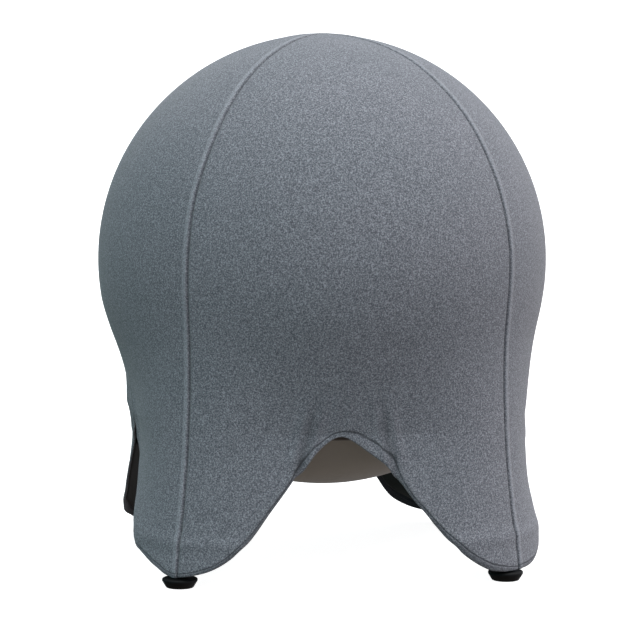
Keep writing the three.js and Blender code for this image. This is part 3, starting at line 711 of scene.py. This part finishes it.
# Bartack: a short close row of threads across the stitch line at a corner of the arch
def bartackParts(side, across):
    point, normal, outer, _ = hemFace(side, np.full(8, across), np.linspace(.0048, .0086, 8))
    places = point + normal * (np.maximum(outer, 0) + .0002)[:, None]
    return stitchParts(places, normal, np.cross(normal, np.gradient(places, axis=0)), .00034, .0034)


# Cover: on each side a panel of cloth, with the threads of its hem on it
for side in sides:
    panel = addPiece("coverPanel_" + side, makePanel(side), "cover_fabric", ["cover_" + side])
    threads = [hemStitches(side)] + [bartackParts(side, across) for across in panels[side].bartacks]
    stitches = addPiece("hemStitches_" + side, joinParts(threads), "cover_fabric", material=sewingThread)
    print("cover panel", side, len(panel.data.polygons), "faces")


ball = Values(
    wall=.0015, hole=.005, ribs=(.016, .021, .026), ribHeight=.0004, ribWidth=.0009, sag=.0046, sagFrom=2.34,
    sagOver=.38, dimple=.018, valveZone=.2)


# Ball: a meridian from the crown to the valve hole, through the wall and back, turned round, with ribs at the valve
def makeBall():
    polar = math.pi - math.asin(ball.hole / stool.ballRadius)
    near = polar - ball.valveZone
    polar = np.concatenate([np.linspace(0, near, 90, endpoint=False), np.linspace(near, polar, 60)])
    fromValve = stool.ballRadius * (math.pi - polar)
    ribs = sum(bell(fromValve - rib, ball.ribWidth) for rib in ball.ribs) * ball.ribHeight
    sag = ball.sag * ease((polar - ball.sagFrom) / ball.sagOver) * (1 - np.exp(-(fromValve / ball.dimple) ** 4))
    outside = stool.ballRadius + sag + ribs
    rows = [np.stack([r * np.sin(polar), r * np.cos(polar)], -1) for r in (outside, outside - ribs - ball.wall)]
    rows[0][0, 0] = rows[1][0, 0] = 0
    points, quads = turnRows(np.concatenate([rows[0], rows[1][::-1]]), 144)
    addPiece("ballShell", (points + ballCentre, quads), "ball_vinyl", ["ball"], 40)


plug = Values(head=.009, thickness=.0016, stem=.0047, length=.014, seat=.0003, rib=.0003, ribPitch=.0026)


# Plug: a flat head with a shallow recess, and a stem with four ribs that grip the valve, turned round
def makePlug():
    seat, head = -plug.seat, plug.head
    low = seat - plug.thickness
    profile = [(0, low + .0004), (.0035, low + .0004), (.0042, low), (head - .0006, low), (head, low + .0007),
               (head, seat), (plug.stem, seat)]
    for base in .002 + plug.ribPitch * np.arange(4):
        profile += [(plug.stem - plug.rib, base), (plug.stem, base + .0009), (plug.stem - plug.rib, base + .0018)]
    profile += [(plug.stem - .0008, plug.length), (0, plug.length)]
    points, quads = turnRows(roundCorners(profile, .0003, 3), 48)
    shape = points + np.array([0, 0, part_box("valve_plug")[0].z - low]), quads
    addPiece("airPlug", shape, "ball_vinyl", ["valve_plug"], 50, "plug")


makeBall()
makePlug()
print("ball and plug made")


weld = Values(radius=.0021, waves=26, ripple=.0004, stand=1.03, steps=96)


# Ring with eight sockets whose open mouths take the prongs, and a rippled bead of weld where each meets the ring
def makeRing():
    section = circle(stool.ringTube, 28)
    rows = [(stool.ringRadius + out, stool.ringHeight + up) for out, up in (*section, section[0])]
    addPiece("ringTube", turnRows(rows, 192), "frame_paint", ["ring_frame"])
    mouth, end, top = prongLength - stool.socketLength, prongLength - .016, prongLength - .003
    wall = [(0, end), (.0078, end), (.0078, mouth), (stool.socketRadius, mouth), (stool.socketRadius, top), (0, top)]
    points, quads = turnRows(roundCorners(wall, .0006, 3), 32)
    places = [legPlane(index) @ Matrix.Translation((0, side * stool.prongHalf, 0)) for index in range(4)
              for side in (-1, 1)]
    sockets, beads = [(moved(points, place), quads) for place in places], [weldBead(place) for place in places]
    addPiece("legSockets", joinParts(sockets), "frame_paint", sharp=40)
    addPiece("weldBeads", joinParts(beads), "frame_paint")


# Weld bead: where the socket's wall meets the ring's tube, found by moving up the socket to the ring's surface
def weldBead(place):
    wall = turnRows([(stool.socketRadius, 0)], weld.steps)[0][0]
    along, up = np.array([0, 0, 1.0]), np.full((weld.steps, 1), prongLength - .02)
    for _ in range(40):
        x, y, z = moved(wall + up * along, place).T
        fromTube = np.hypot(np.hypot(x, y) - stool.ringRadius, z - stool.ringHeight)
        up = np.clip(up + (fromTube - stool.ringTube)[:, None] / 2, prongLength - .03, prongLength - .002)
    path = moved(wall * weld.stand + up * along, place)
    ahead = unit(np.roll(path, -1, 0) - np.roll(path, 1, 0))
    outward = unit(moved(wall, place) - moved(wall * 0, place))
    radius = (weld.radius + weld.ripple * np.sin(anglesRound(weld.steps) * weld.waves))[:, None, None]
    points = carry(path, outward, np.cross(ahead, outward), radius * circle(1, 10))
    return np.concatenate([points, points[:1]]), gridQuads(weld.steps + 1, 10, closeColumns=True)


# Hairpin: up one prong, round the two bends at the foot and up the other, in the leg's leaning plane
def hairpinPath():
    bend = np.linspace(0, quarter, 17)
    side, up = stool.legBend * np.sin(bend), stool.legBend * (1 - np.cos(bend))
    curve = np.stack([stool.prongHalf - stool.legBend + side, up], -1)
    straight = np.linspace(stool.legBend, prongLength - stool.ringTube - .003, 14)[1:]
    half = np.concatenate([curve, np.stack([0 * straight + stool.prongHalf, straight], -1)])
    return np.insert(np.concatenate([half[::-1] * (-1, 1), half]), 0, 0, axis=1)


# Radius of a hexagon round its steps, for an inner circle of one
def hexShape(steps):
    return 1 / np.cos((anglesRound(steps) + math.pi / 6) % (math.pi / 3) - math.pi / 6)


# Rows of a thread: from crest to root and back each pitch, the crest climbing one pitch each turn, either way round
def threadRows(radius, depth, pitch, low, high, perPitch, turn):
    around = turn * np.arange(screwSteps) / screwSteps
    return [(radius - depth * np.abs((height / pitch + around) % 1 * 2 - 1), height)
            for height in np.arange(low, high, pitch / perPitch)]


screwSteps = 36
bolt = Values(
    head=.0046, headTop=.0022, headHeight=.0028, shank=.0025, key=.0016, keyDepth=.0015, pitch=.0008, thread=.0002,
    plain=.45, nut=.0046, nutHeight=.004, nutBore=.00275, nutMouth=.0031, nutEnd=.0041, nutSide=.0049, pastNut=.0015,
    seat=.0003)


# Button-head bolt along +Z with its seat at zero: six-sided key recess, domed head, shank and thread
def boltParts():
    length = 2 * stool.socketRadius + 2 * bolt.seat + bolt.nutHeight + bolt.pastNut
    key, low, dome = bolt.key * hexShape(screwSteps), -bolt.headHeight, np.linspace(0, quarter, 9)
    rows = [(0, low + bolt.keyDepth), (key, low + bolt.keyDepth), (key, low + .0001), (key * 1.06, low)]
    rows += zip(bolt.headTop + (bolt.head - bolt.headTop) * np.sin(dome), low - (low + bolt.seat) * (1 - np.cos(dome)))
    rows += [(bolt.shank, -bolt.seat), (bolt.shank, length * bolt.plain - .0004)]
    rows += threadRows(bolt.shank, bolt.thread, bolt.pitch, length * bolt.plain, length - .0004, 6, -1)
    return turnRows(rows + [(bolt.shank * .8, length), (0, length)], screwSteps)


# Nut: a hexagon whose corners are turned off at both ends, with a bore
def nutParts():
    flat, high = bolt.nut * math.cos(math.pi / 6) * hexShape(48), bolt.nutHeight
    rows = [(np.minimum(flat, limit), height) for height, limit in (
        (0, bolt.nutEnd), (.0005, bolt.nutSide), (high - .0005, bolt.nutSide), (high, bolt.nutEnd))]
    rows += [(bolt.nutMouth, high), (bolt.nutBore, high - .0004), (bolt.nutBore, .0004), (bolt.nutMouth, 0), rows[0]]
    return turnRows(rows, 48)


# Bolts seated on the sockets' outsides and nuts on their insides, level and along the leg's cross direction
def makeFasteners():
    kinds = [("bolt", boltParts(), stool.prongHalf + stool.socketRadius),
             ("nut", nutParts(), stool.prongHalf - stool.socketRadius - bolt.seat)]
    for index, corner in enumerate(corners):
        seat = legPlane(index) @ Matrix.Translation((0, 0, prongLength - stool.boltBelowRing))
        middle = cornerFrame(index).inverted() @ seat.translation
        for letter, side in (("a", -1), ("b", 1)):
            for kind, (points, quads), aside in kinds:
                place = Matrix.Translation((middle.x, side * aside, middle.z)) @ Matrix.Rotation(side * quarter, 4, "X")
                name = f"{kind}_{corner}_{letter}"
                addPiece(name, (moved(points, cornerFrame(index) @ place), quads), "zinc_steel", ["leg_" + name], 35)


makeRing()
hairpin = pipe(hairpinPath(), np.array([1.0, 0, 0]), stool.legTube, stool.legTube - stool.legWall, 24)
addAtCorners(("legTube_", "leg_", hairpin, legPlane, "frame_paint", 50))
makeFasteners()
print("ring, legs and fasteners made")


foot = Values(
    padHeight=.0135, padFoot=.0145, padFlange=.019, padFlangeHeight=.0072, padFloor=.0035, grips=12, gripDepth=.012,
    stud=.003, studHead=.007, studHeadHeight=.003, hex=.0058, hexEnd=.0052, hexBottom=.0138, hexHeight=.004,
    studTop=.0344, pitch=.001, threadDepth=.0003, gap=.0003, edge=.0005, eyeletBore=.0036, eyeletWall=.0008,
    eyeletFlange=.0074, eyeletLow=.0181, eyeletHigh=.0213, insertLow=.0216, insertHigh=.0334, insertFlange=.006,
    insertBody=.00454, insertBore=.00325)


# Swivel pad: a flared shoe, hollow underneath, with twelve shallow grips and an undercut for the stud's head
def padParts():
    height, flange, floor = foot.padHeight, foot.padFlange, foot.padFloor
    mouth, recess = foot.stud + foot.gap, foot.studHead + foot.gap
    top = floor + foot.studHeadHeight + 2 * foot.gap
    profile = [(0, .0006), (.0105, .0006), (.0112, 0), (foot.padFoot, 0), (flange, foot.padFlangeHeight),
               (flange, height - .0043), (flange - .0012, height - .0034), (recess + .0032, height - .003),
               (recess + .0018, height - .0006), (recess + .0012, height), (mouth, height), (mouth, top),
               (recess, top), (recess, floor), (0, floor)]
    points, quads = turnRows(roundCorners(profile, .0009, 5), 96)
    around = np.arctan2(points[..., 1], points[..., 0])
    grip = bell(points[..., 2] - .0055, .0035) * (np.hypot(points[..., 0], points[..., 1]) > .0135)
    points[..., :2] *= (1 - foot.gripDepth * grip * (.5 + .5 * np.cos(foot.grips * around)) ** 3)[..., None]
    return points, quads


# Stud: flat head, plain neck, hexagon and an M6 thread
def studParts():
    low, edge, head = foot.padFloor + foot.gap, foot.edge, foot.studHead
    high, bottom, top = low + foot.studHeadHeight, foot.hexBottom, foot.hexBottom + foot.hexHeight
    flat = foot.hex * math.cos(math.pi / 6) * hexShape(screwSteps)
    rows = [(0, low), (head - edge, low), (head, low + edge), (head, high - edge), (head - edge, high),
            (foot.stud, high), (foot.stud, bottom)]
    rows += [(np.minimum(flat, limit), height) for limit, height in (
        (foot.hexEnd, bottom), (foot.hex, bottom + edge), (foot.hex, top - edge), (foot.hexEnd, top))]
    rows.append((foot.stud - foot.threadDepth, top))
    rows += threadRows(foot.stud, foot.threadDepth, foot.pitch, top + .0004, foot.studTop - .0004, 7, 1)
    return turnRows(rows + [(foot.stud * .8, foot.studTop), (0, foot.studTop)], screwSteps)


# Turned piece with a bore: its profile goes from half way up the bore, down, round its outside and back in
def boredParts(bore, low, high, *outside):
    middle = (bore, (low + high) / 2)
    return turnRows(roundCorners([middle, (bore, low), *outside, (bore, high), middle], .0003, 3), 48)


# Eyelet: a barrel through the tab with a rolled flange on each side of it
def eyeletParts():
    barrel, flange, low, high = foot.eyeletBore + foot.eyeletWall, foot.eyeletFlange, foot.eyeletLow, foot.eyeletHigh
    return boredParts(foot.eyeletBore, low, high, (flange - .0004, low), (flange, low + .0003), (flange, low + .0006),
                      (barrel, low + .0006), (barrel, high - .0006), (flange, high - .0006), (flange, high - .0003),
                      (flange - .0004, high))


# Insert: a sleeve in the leg's bend with a thin flange under it
def insertParts():
    flange, body, low, high = foot.insertFlange, foot.insertBody, foot.insertLow, foot.insertHigh
    return boredParts(foot.insertBore, low, high, (flange, low), (flange, low + .001), (body, low + .001), (body, high))


# Frame of a foot: the leg's, moved out to the foot's middle
def footPlace(index):
    return cornerFrame(index) @ Matrix.Translation((stool.footCircle, 0, 0))


addAtCorners(
    ("footPad_", "foot_pad_", padParts(), footPlace, "pad_plastic", 38, "pad_"),
    ("footStud_", "foot_stud_", studParts(), footPlace, "zinc_steel", 38, "stud_"),
    ("tabEyelet_", "pocket_eyelet_", eyeletParts(), footPlace, "zinc_steel", 38),
    ("footInsert_", "foot_insert_", insertParts(), footPlace, "zinc_steel", 38))
print("feet made")


lining = Values(
    thickness=.001, inset=.012, topShare=.345, bottomShare=.731, topStand=.014, tabHeight=.0197, innerReach=.010,
    depth=.0027, ripple=.0006, hem=.0007, roll=.0006, rows=46, columns=72)
tab = Values(low=.019, thickness=.0014, half=.014, endInset=.0045, innerGap=.0004, holeGap=.0003)


# Distance of the leg's inner side from the stool's axis at a height: the foot's, less the lean and half the tube
def behindLeg(height):
    return stool.footCircle - (height - stool.legBottom) * math.tan(legTilt) - stool.legTube / math.cos(legTilt)


# Lining in its leg's frame: its sides follow the hems inside the two panels, and its middle runs behind the leg
def liningSkin(index, across, down):
    halves = (sides[index], 1), (sides[(index + 1) % 4], -1)
    angle = (lining.topShare + (lining.bottomShare - lining.topShare) * down) * eighth
    heights = [hemHeight(side, sign * angle) + lining.inset for side, sign in halves]
    radii = [sideRadius(side, sign * angle, height) - lining.depth for (side, sign), height in zip(halves, heights)]
    height, radius = np.where(across < 0, *heights), np.where(across < 0, *radii)
    top = sum(hemHeight(side, sign * np.array(lining.topShare * eighth)) + lining.inset for side, sign in halves) / 2
    middleHeight = top + (lining.tabHeight - top) * down
    bottomStand = behindLeg(lining.tabHeight) - (stool.footCircle - lining.innerReach)
    middle = behindLeg(middleHeight) - (lining.topStand + (bottomStand - lining.topStand) * down)
    bow, fromLeg = across ** 2, eighth - angle
    return np.stack([middle + (radius * np.cos(fromLeg) - middle) * bow, radius * np.sin(fromLeg) * across,
                     middleHeight + (height - middleHeight) * bow], -1)


# Lining's cloth: rippled in its middle, thin at its rolled edges and doubled along its upper hem
def liningParts(index):
    down, across = np.meshgrid(np.linspace(0, 1, lining.rows), np.linspace(-1, 1, lining.columns), indexing="ij")
    ripples = lining.ripple * np.sin(7 * across + 3 * down) * np.cos(9 * down - 2 * across) * (1 - across ** 4)
    edge = np.minimum(np.minimum(down, 1 - down) * .1, (1 - np.abs(across)) * .06)
    fold = lining.hem * (1 - ease((down * .1 - .008) / .001)) * (down < .5)
    half = lining.thickness / 2 * np.sqrt(np.clip(edge / lining.roll, .05, 1))
    skin = liningSkin(index, across, down)
    normal = unit(np.cross(np.gradient(skin, axis=1), np.gradient(skin, axis=0)))
    back = half - ripples + fold * (edge > 0)
    return closeCloth(skin + normal * (half + ripples)[..., None], skin - normal * back[..., None])


# Tab: a short flat tongue with cut corners, open round the eyelet's barrel, as a ring of rows out from the hole
def tabParts(index):
    cosine, sine = circle(1, 96).T
    sine = np.abs(sine)
    bottom = np.array([1.0])
    atCorner = tab.half / liningSkin(index, bottom, bottom)[0, 1]
    x0 = liningSkin(index, bottom * atCorner, bottom)[0, 0] + tab.innerGap - stool.footCircle
    x1 = cover.tipRadius - tab.endInset - stool.footCircle
    reach = np.where(cosine > 0, x1, -x0) / np.maximum(np.abs(cosine), 1e-6)
    cut = np.where(cosine > 0, (x1 + tab.half / 2) / np.maximum(cosine + sine, 1e-6), 1.0)
    outline = np.minimum(np.minimum(reach, tab.half / np.maximum(sine, 1e-6)), cut)
    hole = foot.eyeletBore + foot.eyeletWall + tab.holeGap
    upper = list(zip([0, .02, .08, .2, .4, .6, .8, .92, .98, 1], [.3, .8, 1, 1, 1, 1, 1, 1, .8, .3]))
    rows = [(hole + (outline - hole) * share, tab.low + tab.thickness / 2 * (1 + sign * thick))
            for sign, order in ((1, upper), (-1, upper[::-1])) for share, thick in order]
    points, quads = turnRows(rows + rows[:1], 96)
    return points + np.array([stool.footCircle, 0, 0]), quads


pieces = addAtCorners(("pocketLining_", "pocket_lining_", liningParts, cornerFrame, "lining_fabric", None))
pieces = addAtCorners(("pocketTab_", "pocket_tab_", tabParts, cornerFrame, "lining_fabric", 50))
print("linings and tabs made")


studio = Values(
    floorRadius=80, floorTone=(.49, .51), floorGlow=.93, wallHeight=40, wallGlow=1, skyUp=(.70, .73, .77),
    skyLevel=(.01, .05, .08), skyDown=(.23, .17, .13), fromLeft=(0, .1, .1), fromRight=(.72, .71, .75))
# Broad suns: name, where they stand, colour, strength, width in degrees
suns = [("key", (.55, .05, .83), (1, .97, .97), 1.45, 38), ("front", (0, -.55, .83), (1, .98, .97), 1.42, 70),
        ("fill", (-.55, -.5, .67), (.7, 1, 1), .8, 60)]


# Paper of the stage: nearly even, and bright by its own glow
def paperSurface(tree):
    low, high = studio.floorTone
    return {"Base Color": ramp(tree, pattern(tree, 3), (.3, low), (.7, high))}


# Floor and wall: a flat round of rings out from the middle, and an upright ring far off; neither lights the stool
def makeStage():
    far = studio.floorRadius
    flat = [(radius, -.0002) for radius in (0, *np.geomspace(.5, far, 14))]
    upright = [(far, -1), (far, studio.wallHeight)]
    for name, profile, glow in (("floor", flat, studio.floorGlow), ("wall", upright, studio.wallGlow)):
        points, quads = turnRows(profile, 64)
        mesh = makeMesh(name, points, quads[:, ::-1])
        glowing = {"Roughness": .85, "Emission Color": (1, 1, 1, 1), "Emission Strength": glow}
        mesh.materials.append(makeMaterial(name + "Paper", glowing, paperSurface))
        ground = addObject(name, mesh)
        ground.visible_diffuse = ground.visible_glossy = ground.visible_shadow = False


# Studio light: a sky brighter above, a glow along the level from the right, and three broad suns
def makeLight():
    world = bpy.data.worlds.new("studio")
    bpy.context.scene.world = world
    world.use_nodes = True
    tree = world.node_tree
    direction = addNode(tree, "TexCoord", "Generated")
    upright, sideways = (addNode(tree, "MapRange", "Result", {
        "Value": addNode(tree, "SeparateXYZ", axis, {0: direction}), "From Min": -1}) for axis in "ZX")
    sky = ramp(tree, upright, (0, studio.skyDown), (.5, studio.skyLevel), (1, studio.skyUp))
    level = ramp(tree, upright, (0, 0), (.5, 1), (1, 0))
    side = ramp(tree, sideways, (.15, studio.fromLeft), (.5, 0), (.85, studio.fromRight))
    both = mix(tree, "ADD", 1, sky, mix(tree, "MULTIPLY", 1, level, side))
    tree.links.new(both, tree.nodes["Background"].inputs["Color"])
    for name, place, colour, strength, width in suns:
        data = bpy.data.lights.new(name, "SUN")
        data.color, data.energy, data.angle = colour, strength, math.radians(width)
        addObject(name, data).rotation_euler = Vector(place).to_track_quat("Z", "Y").to_euler()
    bpy.context.scene.view_settings.view_transform = "Standard"


makeStage()
makeLight()
print("stage and light made")
